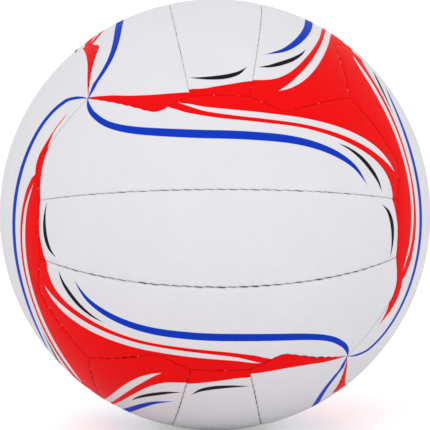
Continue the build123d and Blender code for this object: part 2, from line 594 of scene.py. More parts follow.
@dataclass(frozen=True)
class PrintFields:
    """Where each printed colour lies on a panel.

    Each colour has a row for each place: its offset from a line, and the line's half width there.
    """

    red: np.ndarray
    white: np.ndarray
    blue: np.ndarray
    black: np.ndarray


@dataclass(frozen=True)
class PrintShift:
    """How far the print of a panel sits off its usual place, in degrees along and across.

    Attributes:
        left: Shift at the left end.
        right: Shift at the right end.
        red_end: Shift along of the red at the left end: beside the middle panel, near the corner and at it.
        red_tail: Further shift of the lower edge of the thin start of the red.
        tail_span: Degrees along where that further shift sets in, holds, and dies out again.
        corner: Degrees along and across to the panel's upper corners.
        fade: Degrees from the left corner, where all stripes meet, over which the shift sets in.
    """

    left: Pair = (0.0, 0.0)
    right: Pair = (0.0, 0.0)
    red_end: tuple[float, float, float] = (0.0, 0.0, 0.0)
    red_tail: Pair = (0.0, 0.0)
    tail_span: tuple[float, float, float, float] = (-31.0, -25.0, -10.0, 15.0)
    corner: float = 45.0
    fade: float = 5.0

    def stretched(self, places: np.ndarray) -> np.ndarray:
        """Shift at places on a side panel.

        Args:
            places: Degrees along and across, one row for each place.

        Returns:
            The shift at each place: none at the left corner, then from the left shift to the right one.
        """
        past = places[:, :1] + self.corner
        share = np.clip(past / (2 * self.corner), 0, 1)
        shift = (1 - share) * np.array(self.left) + share * np.array(self.right)
        return np.clip(past / self.fade, 0, 1) * shift


@dataclass(frozen=True)
class SidePrint:
    """Stripes printed on a side panel, in panel degrees.

    Attributes:
        red_sweep: Lower edge of the red field.
        tail_edge: Upper edge of the thin start of that field.
        red_end: Edge of the red at the left end.
        white_line: White line inside the red field.
        blue_stripe: Blue stripe below it.
        black_flick: Short black stroke at the right end.
        end_span: Degrees across, at the left end: beside the middle panel, near the corner and at it.
    """

    red_sweep: Stripe = Stripe((
        (-42.0, 44.0), (-38.0, 41.75), (-34.0, 39.85), (-30.0, 38.2), (-27.0, 37.1), (-24.0, 36.0),
        (-21.5, 35.1), (-18.8, 34.8), (-16.6, 35.1), (-15.3, 35.4), (-14.4, 34.3), (-12.5, 33.45),
        (-9.0, 32.15), (0.0, 30.5), (12.0, 29.75), (24.0, 29.6), (34.0, 28.7), (41.0, 27.2),
        (46.0, 25.1), (49.2, 21.8), (50.7, 17.0), (51.0, 11.0),
    ))
    tail_edge: Stripe = Stripe((
        (-40.0, 42.6), (-36.0, 41.1), (-32.0, 39.6), (-28.0, 38.5), (-24.0, 38.0), (-19.0, 38.6),
        (-15.0, 41.0), (-12.0, 46.0),
    ))
    red_end: Stripe = Stripe((
        (-51.8, 10.0), (-52.1, 18.0), (-52.0, 26.0), (-51.2, 32.5), (-49.9, 36.8), (-47.8, 41.0),
        (-45.0, 45.4),
    ))
    white_line: Stripe = Stripe((
        (-12.4, 35.4, 0.0), (-9.0, 34.4, 0.32), (-4.0, 33.05, 0.58), (4.0, 32.1, 0.78), (14.0, 31.65, 0.85),
        (26.0, 31.65, 0.95), (36.0, 31.3, 1.15), (43.0, 30.4, 1.35), (48.0, 28.8, 1.35), (51.4, 26.4, 0.8),
        (53.6, 23.4, 0.0),
    ))
    blue_stripe: Stripe = Stripe((
        (-45.4, 45.6, 0.0), (-43.0, 41.6, 0.48), (-39.6, 37.6, 0.68), (-34.0, 33.1, 0.82),
        (-27.0, 29.9, 0.98), (-18.0, 27.75, 1.08), (-6.0, 26.35, 1.12), (8.0, 25.95, 1.12),
        (20.0, 25.75, 1.1), (28.0, 24.85, 1.08), (34.0, 23.1, 1.0), (38.2, 20.4, 0.7), (41.3, 15.6, 0.0),
    ))
    black_flick: Stripe = Stripe((
        (34.0, 27.1, 0.0), (37.6, 26.15, 0.42), (41.2, 24.0, 0.78), (44.0, 20.7, 0.8), (45.7, 17.4, 0.45),
        (46.5, 14.0, 0.0),
    ))
    end_span: tuple[float, float, float] = (12.0, 38.0, 45.0)

    def fields(self, places: np.ndarray, shift: PrintShift) -> PrintFields:
        """Works out the print at places on the panel.

        Args:
            places: Degrees along and across, one row for each place.
            shift: How far the print sits off its usual place.

        Returns:
            The printed colours there.
        """
        lean = np.interp(places[:, 1], self.end_span, shift.red_end)
        end = self.red_end.fields(places - lean[:, None] * np.array([1.0, 0.0]))[:, 0]
        places = places - shift.stretched(places)
        tail_share = np.interp(places[:, :1], shift.tail_span, (0.0, 1.0, 1.0, 0.0))
        above = self.red_sweep.fields(places - tail_share * np.array(shift.red_tail))[:, 0]
        cut_edge_and_shade_mask = -self.tail_edge.fields(places)[:, 0]
        red = np.maximum(np.minimum(above, cut_edge_and_shade_mask), end)
        return PrintFields(
            red=np.stack([np.zeros(len(places)), red], axis=1),
            white=self.white_line.fields(places),
            blue=self.blue_stripe.fields(places),
            black=self.black_flick.fields(places),
        )


@dataclass(frozen=True)
class MiddlePrint:
    """Marks printed at both ends of a middle panel, in panel degrees.

    Attributes:
        red_end: Edge of the red at the right end; the left end is the same, turned half round.
        black_flick: Black stroke beside it.
        no_print: Half width that keeps a colour off the panel.
    """

    red_end: Stripe = Stripe((
        (50.2, 14.0), (51.1, 9.5), (52.1, 4.0), (52.9, -2.0), (53.4, -7.0), (53.2, -13.0),
    ))
    black_flick: Stripe = Stripe((
        (46.1, 9.6, 0.0), (48.3, 7.1, 0.55), (49.6, 3.2, 0.72), (50.15, -1.5, 0.62), (50.15, -6.5, 0.36),
        (49.7, -11.2, 0.0),
    ))
    no_print: float = -9.0

    def fields(self, places: np.ndarray, shift: PrintShift) -> PrintFields:
        """Works out the print at places on the panel.

        Args:
            places: Degrees along and across, one row for each place.
            shift: How far the print sits off its usual place.

        Returns:
            The printed colours there.
        """
        places = places - np.where(places[:, :1] > 0, shift.right, shift.left)
        turned = np.where(places[:, :1] > 0, places, -places)
        none = np.stack([np.zeros(len(places)), np.full(len(places), self.no_print)], axis=1)
        red = np.maximum(self.red_end.fields(places)[:, 0], self.red_end.fields(-places)[:, 0])
        return PrintFields(
            red=np.stack([np.zeros(len(places)), red], axis=1),
            white=none,
            blue=none,
            black=self.black_flick.fields(turned),
        )


@dataclass(frozen=True)
class BallFace:
    """One of the six faces: where it looks, how its panels run and what they are called.

    Attributes:
        name: Name of the face in the frame's nodes.
        along: Direction along its panels.
        outward: Direction it looks.
        panels: Names of its panels, from the far side across to the near side.
        ends: Names of the face's ends, the one that along points to first.
    """

    name: str
    along: tuple[int, int, int]
    outward: tuple[int, int, int]
    panels: tuple[str, str, str]
    ends: tuple[str, str]

    def turn(self, half_turn: bool = False) -> np.ndarray:
        """Matrix from the face's own axes to the ball's.

        Args:
            half_turn: Whether the face is turned half round first.

        Returns:
            The matrix, one axis in each column.
        """
        along, outward = np.array(self.along, dtype=float), np.array(self.outward, dtype=float)
        across = np.cross(outward, along)
        side = -1.0 if half_turn else 1.0
        return np.stack([side * along, side * across, outward], axis=1)


FACES = (
    BallFace("front", (1, 0, 0), (0, -1, 0), ("upper", "middle", "lower"), ("right", "left")),
    BallFace("back", (-1, 0, 0), (0, 1, 0), ("upper", "middle", "lower"), ("left", "right")),
    BallFace("top", (0, 1, 0), (0, 0, 1), ("left", "middle", "right"), ("back", "front")),
    BallFace("bottom", (0, 1, 0), (0, 0, -1), ("right", "middle", "left"), ("back", "front")),
    BallFace("right", (0, 0, 1), (1, 0, 0), ("front", "middle", "back"), ("top", "bottom")),
    BallFace("left", (0, 0, 1), (-1, 0, 0), ("back", "middle", "front"), ("top", "bottom")),
)

FRONT_TAIL = (-1.0, 0.2)
FRONT_TAIL_SPAN = (-22.0, -18.0, -15.0, -10.0)

PRINT_SHIFTS = {
    "front_upper": PrintShift(
        red_end=(-0.8, -2.85, -3.4),
        red_tail=FRONT_TAIL,
        tail_span=FRONT_TAIL_SPAN,
    ),
    "front_lower": PrintShift(
        right=(-0.7, 0.0),
        red_end=(-2.2, -4.2, -4.8),
        red_tail=FRONT_TAIL,
        tail_span=FRONT_TAIL_SPAN,
    ),
    "top_left": PrintShift(left=(2.4, -0.5), red_end=(0.3, 1.6, 0.8)),
    "top_middle": PrintShift(left=(2.6, 0.0)),
    "top_right": PrintShift(right=(-3.3, -0.8)),
    "bottom_right": PrintShift(left=(2.6, 0.1), red_end=(0.9, 1.1, 0.0)),
    "bottom_middle": PrintShift(left=(3.5, 0.0)),
    "bottom_left": PrintShift(right=(-3.5, -1.0)),
    "right_front": PrintShift(left=(0.0, -2.6), right=(-3.1, -2.7), red_tail=(0.2, -1.0)),
    "left_front": PrintShift(left=(0.1, -2.2), right=(-2.8, -2.2)),
}

# How loosely each panel is sewn; the same number scales the dirt and painted shade beside its seams,
# strongest on front_lower and the bottom panels.
SEAM_SLACK = {
    "front_upper": 0.6,
    "front_lower": 1.8,
    "top_left": 0.5,
    "top_middle": 0.5,
    "top_right": 0.5,
    "bottom_right": 1.2,
    "bottom_middle": 1.2,
    "bottom_left": 1.2,
}


def mesh_object(name: str, vertices: np.ndarray, faces: list[list[int]]) -> bpy.types.Object:
    """Makes a smooth-shaded mesh object in the scene.

    Args:
        name: Name of the object and its mesh.
        vertices: One row for each vertex.
        faces: Vertex indices of each face.

    Returns:
        The new object.
    """
    mesh = bpy.data.meshes.new(name)
    mesh.from_pydata(vertices.tolist(), [], faces)
    mesh.polygons.foreach_set("use_smooth", np.ones(len(mesh.polygons), dtype=bool))
    mesh.update()
    made = bpy.data.objects.new(name, mesh)
    bpy.context.scene.collection.objects.link(made)
    return made


@dataclass
class CoverPanel:
    """One cover panel: a closed tray with a printed face and a tight rolled edge, puckered by the stitches.

    Attributes:
        name: Name of the panel, such as front_upper.
        outline: Its outline.
        printing: What is printed on it.
        turn: Matrix from its face's axes to the ball's.
        radius: Ball radius.
        slack: How loosely it is sewn, 1 being usual; it also scales the dirt and painted shade beside the
            seam.
        tight_roll: Radius of the rolled edge at a thread.
        open_roll: Largest radius of the rolled edge between two threads.
        slit: How far the edge draws back between two threads.
        opening_gain: How fast the seam opens away from a thread.
        evenness: Least and most that it opens between two threads.
        tight_stitches: Stitches at each end of a seam over which it opens less.
        slant: How far the slanted stitches push the edge to and fro.
        shoulder: Dip of the face beside the seam, and shoulder_reach is how far in it goes.
        swell: How far the face falls off towards the seam.
        skin_insets: Distances in from the seam of the rings of the face.
        under_stride: Ring steps to one grid step on the panel's inside.
    """

    name: str
    outline: PanelOutline
    printing: SidePrint | MiddlePrint
    turn: np.ndarray
    radius: float
    slack: float = 1.0
    stitching: Stitching = Stitching()
    thickness: float = 1.1 * MM
    lip_depth: float = 4.0 * MM
    tight_roll: float = 0.15 * MM
    open_roll: float = 0.45 * MM
    slit: float = 0.26 * MM
    opening_gain: float = 0.8
    evenness: Pair = (0.1, 1.0)
    tight_stitches: float = 4.0
    slant: float = 0.13 * MM
    shoulder: float = 0.22 * MM
    shoulder_reach: float = 1.8 * MM
    swell: float = 0.25 * MM
    skin_insets: tuple[float, ...] = tuple(
        step * MM for step in (0.0, 0.06, 0.15, 0.3, 0.55, 1.0, 1.8, 3.4, 6.0)
    )
    under_stride: int = 4

    def drop(self, inset: float, roll: np.ndarray) -> np.ndarray:
        """How far the face dips below the ball's radius near a seam.

        Args:
            inset: Distance in from the seam.
            roll: Radius of the rolled edge at each ring point.

        Returns:
            Dip at each ring point.
        """
        reach = np.clip(roll - inset, 0, None)
        swell = self.swell * (1 - inset / self.skin_insets[-1]) ** 2
        shoulder = self.shoulder * max(0.0, 1 - inset / self.shoulder_reach) ** 2
        return roll - np.sqrt(roll**2 - reach**2) + swell + shoulder

    def seam_opening(self, draws: np.random.Generator) -> np.ndarray:
        """How far the seam opens: shut at a thread and at a seam's ends, open between threads.

        Args:
            draws: Source of the stitches' unevenness.

        Returns:
            Opening from 0 to 1 at each ring point.
        """
        phase, to_go = self.outline.stitch_phase(self.stitching)
        opening = np.clip(self.opening_gain * (1 - np.cos(2 * math.pi * phase)), 0, 1)
        opening *= np.clip(np.minimum(phase, to_go) / self.tight_stitches, 0, 1)
        evenness = draws.uniform(*self.evenness, int(phase.max()) + 2)
        return opening * evenness[np.floor(np.clip(phase, 0, None)).astype(int)]

    def seam_shift(self, opening: np.ndarray) -> np.ndarray:
        """How far the slit and the slant of the stitches move the panel's edge inwards.

        Args:
            opening: Opening of the seam at each ring point.

        Returns:
            For each ring point a unit vector inwards, times the move as an angle.
        """
        phase, _ = self.outline.stitch_phase(self.stitching)
        move = self.slit * self.slack * opening + self.slant * np.sin(2 * math.pi * phase)
        inward = unit(self.outline.ring(self.thickness) - self.outline.ring(0.0))
        return inward * (move / self.radius)[:, None]

    def build(self, draws: np.random.Generator) -> bpy.types.Object:
        """Builds the panel's mesh, with the print and the distance to the seam as attributes.

        Args:
            draws: Source of the stitches' unevenness.

        Returns:
            The panel's object.
        """
        opening = self.seam_opening(draws)
        roll = self.tight_roll + (self.open_roll - self.tight_roll) * opening
        shift = self.seam_shift(opening)
        lip_ring, seam_ring = self.outline.ring(self.thickness), self.outline.ring(0.0) + shift
        loops = [
            lip_ring * (self.radius - self.thickness),
            lip_ring * (self.radius - self.lip_depth),
            seam_ring * (self.radius - self.lip_depth),
        ]
        insets = [self.thickness, self.thickness, -self.lip_depth]
        for inset in self.skin_insets:
            ring = unit(self.outline.ring(inset) + shift * (1 - inset / self.skin_insets[-1]) ** 2)
            loops.append(ring * (self.radius - self.drop(inset, roll))[:, None])
            insets.append(inset)
        count = len(seam_ring)
        corners = np.arange(count)
        following = np.roll(corners, -1)
        faces = []
        for level in range(len(loops) - 1):
            low, high = level * count, (level + 1) * count
            quads = [low + corners, low + following, high + following, high + corners]
            faces += np.stack(quads, axis=1).tolist()

        along, across = self.outline.side_steps()
        skin = Patch(self.outline.ring(self.skin_insets[-1]), (len(loops) - 1) * count, along, across, 1)
        under = Patch(lip_ring, 0, along, across, self.under_stride)
        skin_points, under_points = skin.inner_points(), under.inner_points()
        first_skin = len(loops) * count
        first_under = first_skin + len(skin_points)
        faces += skin.faces(first_skin)
        faces += [face[::-1] for face in under.faces(first_under)]
        vertices = np.concatenate([
            *loops,
            skin_points * self.radius,
            under_points * (self.radius - self.thickness),
        ])
        panel = mesh_object(f"{self.name}_panel", vertices @ self.turn.T, faces)
        depth = np.full(len(vertices), self.skin_insets[-1])
        depth[: len(insets) * count] = np.repeat(insets, count)
        self.mark(panel.data, vertices, depth)
        return panel

    def mark(self, mesh: bpy.types.Mesh, vertices: np.ndarray, depth: np.ndarray) -> None:
        """Stores on each vertex how it lies to the printed lines and the seam, and how loose the seam is,
        which also sets how strong the dirt and painted shade beside the seam are.

        Args:
            mesh: The panel's mesh.
            vertices: Its vertices in the face's own axes.
            depth: Distance of each vertex in from the seam's edge, and below zero down the panel's side.
        """
        places = np.degrees(np.arctan2(vertices[:, :2], vertices[:, 2:3]))
        print_fields = self.printing.fields(places, PRINT_SHIFTS.get(self.name, PrintShift()))
        for colour in PRINT_COLOURS:
            rows = getattr(print_fields, colour)
            values = np.concatenate([rows, np.zeros((len(rows), 1))], axis=1)
            layer = mesh.attributes.new(f"print_{colour}", "FLOAT_VECTOR", "POINT")
            layer.data.foreach_set("vector", values.astype(np.float32).ravel())
        slack = np.full(len(depth), self.slack)
        for name, values in (("seam_distance", depth / MM), ("seam_slack_and_shade", slack)):
            layer = mesh.attributes.new(name, "FLOAT", "POINT")
            layer.data.foreach_set("value", values.astype(np.float32))


@dataclass
class SeamThread:
    """Thread of a group of seam runs: a strand in the bed of the seam, and the stitches that cross it.

    Attributes:
        name: Name of the frame's node that it stands for.
        runs: The corners at the two ends of each run.
        turns: Matrices from the face's axes to the ball's, one for each copy of the runs.
        radius: Ball radius.
        bed_end_gap: How far the strand in the bed stops short of a run's ends.
        stitch_depth: Least and most that a stitch lies below the ball's radius at the seam.
        stitch_sink: How much deeper its ends are, where it enters the panels.
        stitch_slant: Half its length along the seam.
        stitch_reach: Half its length across the seam.
    """

    name: str
    runs: list[tuple[Corner, Corner]]
    turns: list[np.ndarray]
    radius: float
    stitching: Stitching = Stitching()
    bed_depth: float = 1.6 * MM
    bed_radius: float = 0.34 * MM
    bed_end_gap: float = 4.0 * MM
    bed_steps: int = 3
    stitch_depth: Pair = (0.45 * MM, 0.95 * MM)
    stitch_sink: float = 0.45 * MM
    stitch_radius: float = 0.22 * MM
    stitch_slant: float = 0.8 * MM
    stitch_reach: float = 0.55 * MM
    stitch_points: int = 5
    sides: int = 6

    def strand(self, path: np.ndarray, radius: float) -> tuple[np.ndarray, list[list[int]]]:
        """Closed tube along a path.

        Args:
            path: Points of the path, one row each.
            radius: Radius of the tube.

        Returns:
            Its vertices and faces.
        """
        heading = unit(np.gradient(path, axis=0))
        side = unit(np.cross(heading, path))
        up = np.cross(side, heading)
        angles = 2 * math.pi * np.arange(self.sides)[None, :, None] / self.sides
        round_points = np.cos(angles) * side[:, None] + np.sin(angles) * up[:, None]
        vertices = (path[:, None] + radius * round_points).reshape(-1, 3)
        faces = []
        for ring in range(len(path) - 1):
            for k in range(self.sides):
                a, b = ring * self.sides + k, ring * self.sides + (k + 1) % self.sides
                faces.append([b, a, a + self.sides, b + self.sides])
        last = (len(path) - 1) * self.sides
        faces.append(list(range(self.sides)))
        faces.append([last + k for k in reversed(range(self.sides))])
        return vertices, faces

    def bed(self, first: np.ndarray, last: np.ndarray) -> np.ndarray:
        """Path of the strand in the bed of one run.

        Args:
            first: Unit vector to the start of the run.
            last: Unit vector to its end.

        Returns:
            Points of the path.
        """
        axis = unit(np.cross(first, last))
        run = math.acos(float(first @ last))
        gap = self.bed_end_gap / self.radius
        steps = self.bed_steps * self.stitching.count(first, last, self.radius)
        angles = np.linspace(gap, run - gap, steps + 1)[:, None]
        circle = np.cos(angles) * first + np.sin(angles) * np.cross(axis, first)
        return circle * (self.radius - self.bed_depth)

    def crossing(self, first: np.ndarray, last: np.ndarray, share: float, depth: float) -> np.ndarray:
        """Path of one stitch over the seam: slanted, and sunk where it enters each panel.

        Args:
            first: Unit vector to the start of the run.
            last: Unit vector to its end.
            share: How far along the run the stitch is.
            depth: How deep the stitch lies at the seam.

        Returns:
            Points of the path.
        """
        axis = unit(np.cross(first, last))
        angle = math.acos(float(first @ last)) * share
        centre = math.cos(angle) * first + math.sin(angle) * np.cross(axis, first)
        heading = np.cross(axis, centre)
        reach = np.linspace(-1, 1, self.stitch_points)[:, None]
        depths = depth + self.stitch_sink * reach**2
        sideways = reach * (self.stitch_slant * heading + self.stitch_reach * axis)
        return centre * (self.radius - depths) + sideways

    def build(self, draws: np.random.Generator) -> bpy.types.Object:
        """Builds the strands of every run as one mesh.

        Args:
            draws: Source of the stitches' uneven depths.

        Returns:
            The thread's object.
        """
        vertices, faces, count = [], [], 0
        for turn in self.turns:
            for start, end in self.runs:
                first, last = start.direction(), end.direction()
                stitches = self.stitching.count(first, last, self.radius)
                paths = [(self.bed(first, last), self.bed_radius)]
                for k in range(1, stitches):
                    depth = draws.uniform(*self.stitch_depth)
                    paths.append((self.crossing(first, last, k / stitches, depth), self.stitch_radius))
                for path, radius in paths:
                    points, strand_faces = self.strand(path, radius)
                    vertices.append(points @ turn.T)
                    faces += [[count + v for v in face] for face in strand_faces]
                    count += len(points)
        return mesh_object(f"{self.name}_stitches", np.concatenate(vertices), faces)


@dataclass
class ValveMouth:
    """Round hole in the valve panel, where the valve's stem shows.

    Attributes:
        outward: Direction the valve looks.
        radius: Ball radius.
        hole_radius: Radius of the hole.
        hole_sides: Sides of the cutter that makes the hole.
        cutter_length: Length of that cutter, half of it inside the ball.
    """

    outward: tuple[int, int, int]
    radius: float
    hole_radius: float = 4.1 * MM
    hole_sides: int = 64
    cutter_length: float = 12.0 * MM

    def cut(self, panel: bpy.types.Object) -> None:
        """Cuts the hole through a panel and keeps the result as its mesh.

        Args:
            panel: The cover panel that holds the valve.
        """
        bpy.ops.mesh.primitive_cylinder_add(
            vertices=self.hole_sides,
            radius=self.hole_radius,
            depth=self.cutter_length,
            location=Vector(self.outward) * self.radius,
            rotation=Vector(self.outward).to_track_quat("Z", "Y").to_euler(),
        )
        cutter = bpy.context.object
        modifier = panel.modifiers.new("valve_hole", "BOOLEAN")
        modifier.object = cutter
        modifier.solver = "EXACT"
        whole = panel.data
        graph = bpy.context.evaluated_depsgraph_get()
        cut_mesh = bpy.data.meshes.new_from_object(panel.evaluated_get(graph))
        panel.modifiers.remove(modifier)
        panel.data = cut_mesh
        cut_mesh.name = panel.name
        cutter_mesh = cutter.data
        bpy.data.objects.remove(cutter)
        bpy.data.meshes.remove(cutter_mesh)
        bpy.data.meshes.remove(whole)


class NodeSheet:
    """Short way to add and join nodes in one node tree."""

    def __init__(self, tree: bpy.types.NodeTree) -> None:
        """Starts on a node tree."""
        self.tree = tree

    def feed(self, node: bpy.types.Node, inputs: Inputs) -> None:
        """Sets inputs of a node.

        Args:
            node: The node.
            inputs: For each input's name or number, a value or the socket that feeds it.
        """
        for key, value in inputs.items():
            if isinstance(value, Socket):
                self.tree.links.new(value, node.inputs[key])
            else:
                node.inputs[key].default_value = value

    def add(self, kind: str, inputs: Inputs | None = None, **settings: object) -> bpy.types.Node:
        """Adds a node.

        Args:
            kind: Blender's name for the node type.
            inputs: For each input's name or number, a value or the socket that feeds it.
            settings: Values of the node's own settings.

        Returns:
            The new node.
        """
        node = self.tree.nodes.new(kind)
        for key, value in settings.items():
            setattr(node, key, value)
        self.feed(node, inputs or {})
        return node

    def group(self, tree: bpy.types.NodeTree, inputs: Inputs) -> bpy.types.Node:
        """Places a node group."""
        return self.add("ShaderNodeGroup", inputs, node_tree=tree)

    def math(self, operation: str, *values: object, clamp: bool = False) -> Socket:
        """Adds a math node and returns its output."""
        node = self.add("ShaderNodeMath", dict(enumerate(values)), operation=operation, use_clamp=clamp)
        return node.outputs[0]

    def mix(self, share: object, first: object, second: object, blend: str = "MIX") -> Socket:
        """Mixes two colours and returns the result."""
        inputs = {0: share, 6: first, 7: second}
        return self.add("ShaderNodeMix", inputs, data_type="RGBA", blend_type=blend).outputs[2]

    def between(self, value: object, ends: Pair, span: Pair = (0.0, 1.0)) -> Socket:
        """Maps a value from a span to the two given ends and returns the result."""
        inputs = {0: value, 1: span[0], 2: span[1], 3: ends[0], 4: ends[1]}
        return self.add("ShaderNodeMapRange", inputs).outputs[0]

    def bump(self, height: object, strength: float, depth: float) -> Socket:
        """Adds a bump and returns its normal."""
        inputs = {"Strength": strength, "Distance": depth, "Height": height}
        return self.add("ShaderNodeBump", inputs).outputs["Normal"]

    def attribute(self, name: str, output: str) -> Socket:
        """Reads an attribute of the mesh and returns one of its outputs."""
        return self.add("ShaderNodeAttribute", attribute_name=name).outputs[output]

    def place(self) -> Socket:
        """Reads the place on the object, in metres."""
        return self.add("ShaderNodeTexCoord").outputs["Object"]


@dataclass
class SharedEffects:
    """Shader effects that the finishes use, each a node group built once."""

    cell_smoothness: float = 0.6
    patch_detail: float = 4.0
    patch_roughness: float = 0.6
    weave_distortion: float = 0.6
    weave_detail: float = 1.0

    def __post_init__(self) -> None:
        """Builds the groups."""
        self.print_mask = self.make_print_mask()
        self.grain = self.make_grain()
        self.weave = self.make_weave()

    def start(
        self,
        name: str,
        inputs: dict[str, str],
        outputs: tuple[str, ...],
    ) -> tuple[NodeSheet, bpy.types.Node, bpy.types.Node]:
        """Opens a new node group.

        Args:
            name: Name of the group.
            inputs: Socket type of each input.
            outputs: Name of each output; all are values.

        Returns:
            A sheet to draw on, the group's input node and its output node.
        """
        tree = bpy.data.node_groups.new(name, "ShaderNodeTree")
        for socket, kind in inputs.items():
            tree.interface.new_socket(socket, in_out="INPUT", socket_type=kind)
        for socket in outputs:
            tree.interface.new_socket(socket, in_out="OUTPUT", socket_type=VALUE_SOCKET)
        sheet = NodeSheet(tree)
        return sheet, sheet.add("NodeGroupInput"), sheet.add("NodeGroupOutput")

    def make_print_mask(self) -> bpy.types.NodeTree:
        """Mask of a printed line, with a slightly soft edge.

        Returns:
            The group, which takes an offset and a half width as one vector.
        """
        inputs = {"Line": VECTOR_SOCKET, "Softness": VALUE_SOCKET}
        sheet, given, result = self.start("print_mask", inputs, ("Mask",))
        line = sheet.add("ShaderNodeSeparateXYZ", {0: given.outputs["Line"]})
        offset = sheet.math("ABSOLUTE", line.outputs["X"])
        inside = sheet.math("SUBTRACT", line.outputs["Y"], offset)
        share = sheet.math("DIVIDE", inside, given.outputs["Softness"])
        sheet.feed(result, {"Mask": sheet.math("ADD", share, 0.5, clamp=True)})
        return sheet.tree

    def make_grain(self) -> bpy.types.NodeTree:
        """Pebbled rubber.

        Returns:
            The group, which gives a height of small rounded cells and a slow uneven tone.
        """
        inputs = {"Cells per metre": VALUE_SOCKET, "Patches per metre": VALUE_SOCKET}
        sheet, given, result = self.start("rubber_grain", inputs, ("Height", "Tone"))
        place = sheet.place()
        cell_inputs = {
            "Vector": place,
            "Scale": given.outputs["Cells per metre"],
            "Smoothness": self.cell_smoothness,
        }
        cells = sheet.add("ShaderNodeTexVoronoi", cell_inputs, feature="SMOOTH_F1")
        patches = sheet.add("ShaderNodeTexNoise", {
            "Vector": place,
            "Scale": given.outputs["Patches per metre"],
            "Detail": self.patch_detail,
            "Roughness": self.patch_roughness,
        })
        height = sheet.math("SUBTRACT", 1.0, cells.outputs["Distance"])
        sheet.feed(result, {"Height": height, "Tone": patches.outputs[0]})
        return sheet.tree

    def make_weave(self) -> bpy.types.NodeTree:
        """Plain weave.

        Returns:
            The group, which gives a height of threads that cross and a tone that follows them.
        """
        inputs = {"Threads per metre": VALUE_SOCKET}
        sheet, given, result = self.start("plain_weave", inputs, ("Height", "Tone"))
        wave_inputs = {
            "Vector": sheet.place(),
            "Scale": given.outputs["Threads per metre"],
            "Distortion": self.weave_distortion,
            "Detail": self.weave_detail,
        }
        waves = [
            sheet.add("ShaderNodeTexWave", wave_inputs, bands_direction=direction).outputs["Fac"]
            for direction in ("X", "Z")
        ]
        height = sheet.math("MAXIMUM", *waves)
        tone = sheet.math("MULTIPLY", *waves)
        sheet.feed(result, {"Height": height, "Tone": tone})
        return sheet.tree

    def rubber(self, sheet: NodeSheet, cells: float, patches: float) -> tuple[Socket, Socket]:
        """Places the grain on a finish's sheet.

        Args:
            sheet: The sheet.
            cells: Grain cells in a metre.
            patches: Patches of tone in a metre.

        Returns:
            The grain's height and its tone.
        """
        grain = sheet.group(self.grain, {"Cells per metre": cells, "Patches per metre": patches})
        return grain.outputs["Height"], grain.outputs["Tone"]


def new_material(name: str) -> tuple[bpy.types.Material, NodeSheet, bpy.types.Node]:
    """Starts a material.

    Args:
        name: Name of the material.

    Returns:
        The material, a sheet to draw on, and its Principled shader.
    """
    material = bpy.data.materials.new(name)
    material.use_nodes = True
    shader = material.node_tree.nodes["Principled BSDF"]
    return material, NodeSheet(material.node_tree), shader


@dataclass(frozen=True)
class PrintedCover:
    """White grained rubber with red, blue and black print, with dirt and painted shade along the seams.

    Attributes:
        seam_dirt_and_shade: Tint beside a seam, partly dirt and partly painted shade in the seam's crease.
        dirt_and_shade_reach: Millimetres from the seam between which that dirt and painted shade die out.
        dirt_and_shade_share: Strength of the dirt and painted shade at the seam.
        dirt_and_shade_spread: Lowest and highest factor on that strength, by the cover's uneven tone.
        cut_edge_and_shade: Tint of a panel's side, down in the seam: the cut edge's own dark colour and
            painted shade.
        cut_edge_and_shade_reach: Millimetres below the edge over which that tint sets in.
        print_softness: Degrees over which the edge of a printed line fades.
        tone_range: Lowest and highest brightness, by the uneven tone.
        roughness: Lowest and highest roughness.
    """

    white: Colour = linear(231, 230, 232)
    red: Colour = linear(243, 7, 9)
    blue: Colour = linear(8, 56, 191)
    black: Colour = linear(23, 22, 28)
    seam_dirt_and_shade: Colour = linear(150, 148, 150)
    dirt_and_shade_reach: Pair = (0.05, 0.6)
    dirt_and_shade_share: float = 0.35
    dirt_and_shade_spread: Pair = (0.5, 1.3)
    cut_edge_and_shade: Colour = linear(58, 51, 47)
    cut_edge_and_shade_reach: float = 0.3
    print_softness: float = 0.13
    cells_per_metre: float = 1150.0
    patches_per_metre: float = 38.0
    grain_depth: float = 0.14 * MM
    grain_strength: float = 0.9
    tone_range: Pair = (0.96, 1.03)
    roughness: Pair = (0.48, 0.66)
    specular: float = 0.06

    def make(self, effects: SharedEffects) -> bpy.types.Material:
        """Builds the material.

        Args:
            effects: The shared node groups.

        Returns:
            The material.
        """
        material, sheet, shader = new_material("printed_cover")
        height, tone = effects.rubber(sheet, self.cells_per_metre, self.patches_per_metre)
        colour: object = self.white
        for ink in PRINT_COLOURS:
            line = sheet.attribute(f"print_{ink}", "Vector")
            mask = sheet.group(effects.print_mask, {"Line": line, "Softness": self.print_softness})
            colour = sheet.mix(mask.outputs["Mask"], colour, getattr(self, ink))
        distance = sheet.attribute("seam_distance", "Fac")
        # Dirt and painted shade darken the cover beside the seam, more where the seam is sewn loosely.
        near_seam = sheet.between(distance, (self.dirt_and_shade_share, 0.0), self.dirt_and_shade_reach)
        slack = sheet.attribute("seam_slack_and_shade", "Fac")
        uneven = sheet.math("MULTIPLY", slack, sheet.between(tone, self.dirt_and_shade_spread))
        dirt_and_shade_mask = sheet.math("MULTIPLY", near_seam, uneven, clamp=True)
        colour = sheet.mix(dirt_and_shade_mask, colour, self.seam_dirt_and_shade, "MULTIPLY")
        # Down the panel's side in the seam: the cut edge's own colour and painted shade.
        cut_edge_and_shade_mask = sheet.between(distance, (1.0, 0.0), (-self.cut_edge_and_shade_reach, 0.0))
        colour = sheet.mix(cut_edge_and_shade_mask, colour, self.cut_edge_and_shade, "MULTIPLY")
        brightness = sheet.between(tone, self.tone_range)
        drift = sheet.add("ShaderNodeHueSaturation", {"Value": brightness, "Color": colour})
        sheet.feed(shader, {
            "Base Color": drift.outputs["Color"],
            "Roughness": sheet.between(tone, self.roughness),
            "Normal": sheet.bump(height, self.grain_strength, self.grain_depth),
            "Specular IOR Level": self.specular,
        })
        return material


